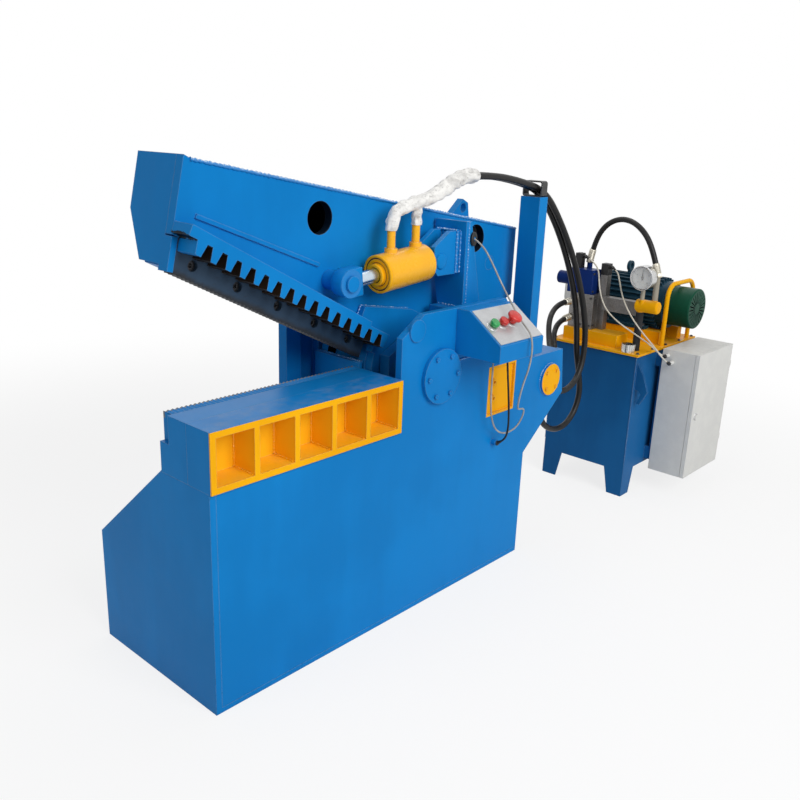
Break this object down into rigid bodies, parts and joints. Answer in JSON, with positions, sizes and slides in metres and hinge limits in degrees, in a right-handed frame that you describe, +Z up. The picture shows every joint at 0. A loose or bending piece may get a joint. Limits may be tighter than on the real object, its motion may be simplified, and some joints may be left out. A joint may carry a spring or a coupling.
{
  "type": "hydraulic alligator shear with power unit",
  "caption": "Hydraulic alligator scrap shear with a toothed hinged jaw, cylinders, control desk and hoses to a tank-mounted motor, pump and switch cabinet.",
  "frame": {"origin": "middle of the shear base on the floor", "axes": "+X towards the rear and the power unit, nose at -X; +Z up; desk side at -Y"},
  "size_m": [2.734, 0.7995, 1.4691],
  "materials": {
    "blue_paint": "semi-gloss enamel",
    "yellow_paint": "semi-gloss enamel",
    "blade_steel": "ground and oiled",
    "pin_steel": "turned",
    "bolt_steel": "blackened",
    "panel_grey": "satin",
    "start_green": "moulded",
    "stop_red": "moulded",
    "strap_steel": "zinc plated",
    "block_grey": "phosphated",
    "rod_chrome": "polished",
    "tank_blue": "semi-gloss enamel",
    "motor_teal": "painted",
    "cowl_green": "semi-gloss enamel",
    "pump_grey": "cast",
    "coil_navy": "satin",
    "plug_black": "moulded",
    "gauge_steel": "polished",
    "needle_black": "satin",
    "cap_chrome": "plated",
    "cabinet_grey": "powder coat",
    "hose_rubber": "smooth",
    "cable_cream": "sheathed",
    "wire_grey": "sheathed",
    "cable_black": "sheathed",
    "sleeve_white": "woven wrap"
  },
  "bodies": {
    "root": {"base_body": "blue_paint", "near_side_plate": "blue_paint", "near_bearing_plate": "blue_paint", "far_bearing_plate": "blue_paint", "table_beam": "blue_paint", "pocket_frame": "yellow_paint", "lower_blade": "blade_steel", "pivot_pin": "pin_steel", "pivot_covers": "blue_paint", "cover_bolts": "blue_paint", "access_tray": "yellow_paint", "cylinder_post": "blue_paint", "cylinder_pins": "blue_paint", "trunnion_covers": "yellow_paint", "control_desk": "blue_paint", "desk_panel": "panel_grey", "hose_post": "blue_paint", "hose_clamp": "strap_steel", "port_block": "block_grey", "tank": "tank_blue", "tank_top": "yellow_paint", "motor_body": "motor_teal", "motor_cowl": "cowl_green", "pump_unit": "pump_grey", "valve_block": "block_grey", "solenoid_coils": "coil_navy", "valve_plugs": "plug_black", "pressure_manifold": "yellow_paint", "gauge_case": "gauge_steel", "cabinet": "cabinet_grey", "near_post_hose": "hose_rubber", "far_post_hose": "hose_rubber", "high_valve_hose": "hose_rubber", "low_valve_hose": "hose_rubber", "top_hose": "hose_rubber", "first_cable": "cable_cream", "second_cable": "cable_cream", "grey_wire": "wire_grey", "black_cable": "cable_black"},
    "jaw": {"jaw_near_plate": "blue_paint", "jaw_shell": "blue_paint", "jaw_nose_plate": "blue_paint", "jaw_hub": "blue_paint", "toothed_bar": "blue_paint", "upper_blade": "blade_steel", "blade_bolts": "bolt_steel", "rod_clevis": "blue_paint", "jaw_pins": "blue_paint"},
    "main_barrel": {"main_barrel": "yellow_paint"},
    "main_rod": {"main_rod": "rod_chrome"},
    "return_barrel": {"return_barrel": "yellow_paint", "hose_sleeve": "sleeve_white"},
    "return_rod": {"return_rod": "rod_chrome"},
    "start_button": {"start_button": "start_green"},
    "stop_button": {"stop_button": "stop_red"},
    "emergency_stop": {"emergency_stop": "stop_red"},
    "cabinet_door": {"cabinet_door": "cabinet_grey"},
    "breather_cap": {"breather_cap": "cap_chrome"},
    "gauge_needle": {"gauge_needle": "needle_black"},
    "motor_rotor": {"motor_rotor": "pin_steel"}
  },
  "joints": [
    {"name": "jaw_pivot", "type": "hinge", "parent": "root", "child": "jaw", "pos_m": [0.186, 0.037, 0.801], "axis": [0, -1, 0], "range_deg": [0, 24]},
    {"name": "main_swing", "type": "hinge", "parent": "root", "child": "main_barrel", "pos_m": [0.832, 0.0366, 0.668], "axis": [0, -1, 0], "range_deg": [0, 8.5]},
    {"name": "main_stroke", "type": "slide", "parent": "main_barrel", "child": "main_rod", "axis": [-0.2983, 0, 0.9545], "range_m": [0, 0.235]},
    {"name": "return_swing", "type": "hinge", "parent": "root", "child": "return_barrel", "pos_m": [0.277, -0.143, 1.145], "axis": [0, -1, 0], "range_deg": [0, 15.5], "deforming": ["hose_sleeve"]},
    {"name": "return_stroke", "type": "slide", "parent": "return_barrel", "child": "return_rod", "axis": [-0.9955, 0, -0.095], "range_m": [0, 0.134]},
    {"name": "start_button_press", "type": "slide", "parent": "root", "child": "start_button", "axis": [0, 0.5836, -0.812], "range_m": [0, 0.005], "stiffness_N_per_m": 2000},
    {"name": "stop_button_press", "type": "slide", "parent": "root", "child": "stop_button", "axis": [0, 0.5836, -0.812], "range_m": [0, 0.005], "stiffness_N_per_m": 2000},
    {"name": "emergency_stop_press", "type": "slide", "parent": "root", "child": "emergency_stop", "axis": [0, 0.5836, -0.812], "range_m": [0, 0.005], "stiffness_N_per_m": 2000},
    {"name": "door_hinge", "type": "hinge", "parent": "root", "child": "cabinet_door", "pos_m": [2.007, -0.494, 0.38], "axis": [0, 0, 1], "range_deg": [0, 110]},
    {"name": "breather_turn", "type": "hinge", "parent": "root", "child": "breather_cap", "pos_m": [1.494, -0.255, 0.68], "axis": [0, 0, 1], "range_deg": [0, 120]},
    {"name": "needle_turn", "type": "hinge", "parent": "root", "child": "gauge_needle", "pos_m": [1.502, -0.278, 0.983], "axis": [1, 0, 0], "range_deg": [-135, 135], "stiffness_Nm_per_rad": 0.02},
    {"name": "motor_spin", "type": "hinge", "parent": "root", "child": "motor_rotor", "pos_m": [1.84, -0.1, 0.825], "axis": [0, 1, 0], "continuous": true}
  ],
  "couplings": [
    {"joint": "main_swing", "follows": "jaw_pivot", "ratio": 0.34583},
    {"joint": "main_stroke", "follows": "jaw_pivot", "m_per_rad": 0.55755},
    {"joint": "return_swing", "follows": "jaw_pivot", "ratio": 0.63784},
    {"joint": "return_stroke", "follows": "jaw_pivot", "m_per_rad": 0.31729}
  ]
}
